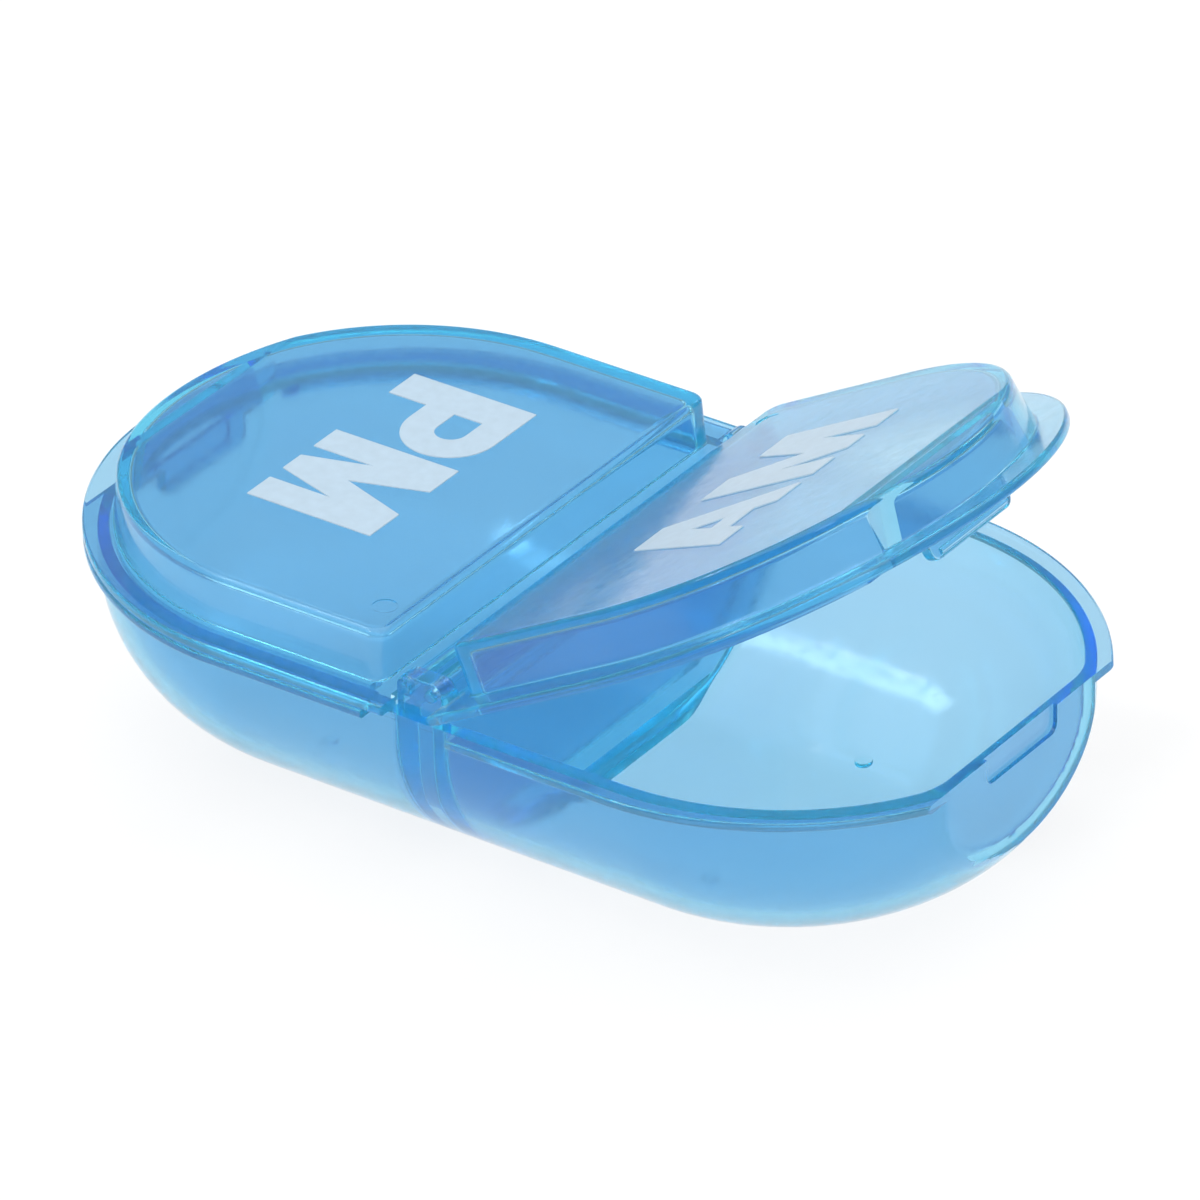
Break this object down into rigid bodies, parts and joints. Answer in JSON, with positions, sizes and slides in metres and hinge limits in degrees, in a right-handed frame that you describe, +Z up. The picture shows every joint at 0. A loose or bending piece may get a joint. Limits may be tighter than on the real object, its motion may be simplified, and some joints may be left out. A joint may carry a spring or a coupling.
{
  "type": "pill organiser",
  "caption": "Pocket pill organiser: a round-ended tray with a divider across its middle, and a raised lid hinged beside the divider over each compartment, held shut by a tongue at its far end.",
  "frame": {"origin": "middle of the tray's flat underside, under the divider", "axes": "+X along the length towards the AM compartment, +Y across the box, +Z up"},
  "size_m": [0.0918, 0.055, 0.0442],
  "materials": {
    "blue_plastic": "translucent sky blue moulded polypropylene, polished",
    "white_ink": "thin white pad-printed ink"
  },
  "bodies": {
    "tray": {"tray": "blue_plastic"},
    "pm_lid": {"pm_lid": "blue_plastic", "pm_legend_p": "white_ink", "pm_legend_m": "white_ink"},
    "am_lid": {"am_lid": "blue_plastic", "am_legend_a": "white_ink", "am_legend_m": "white_ink"}
  },
  "joints": [
    {"name": "pm_lid_hinge", "type": "hinge", "parent": "tray", "child": "pm_lid", "pos_m": [-0.00125, 0, 0.0206], "axis": [0, 1, 0], "range_deg": [0, 55]},
    {"name": "am_lid_hinge", "type": "hinge", "parent": "tray", "child": "am_lid", "pos_m": [0.00125, 0, 0.0206], "axis": [0, -1, 0], "range_deg": [-28.9, 26.1]}
  ]
}
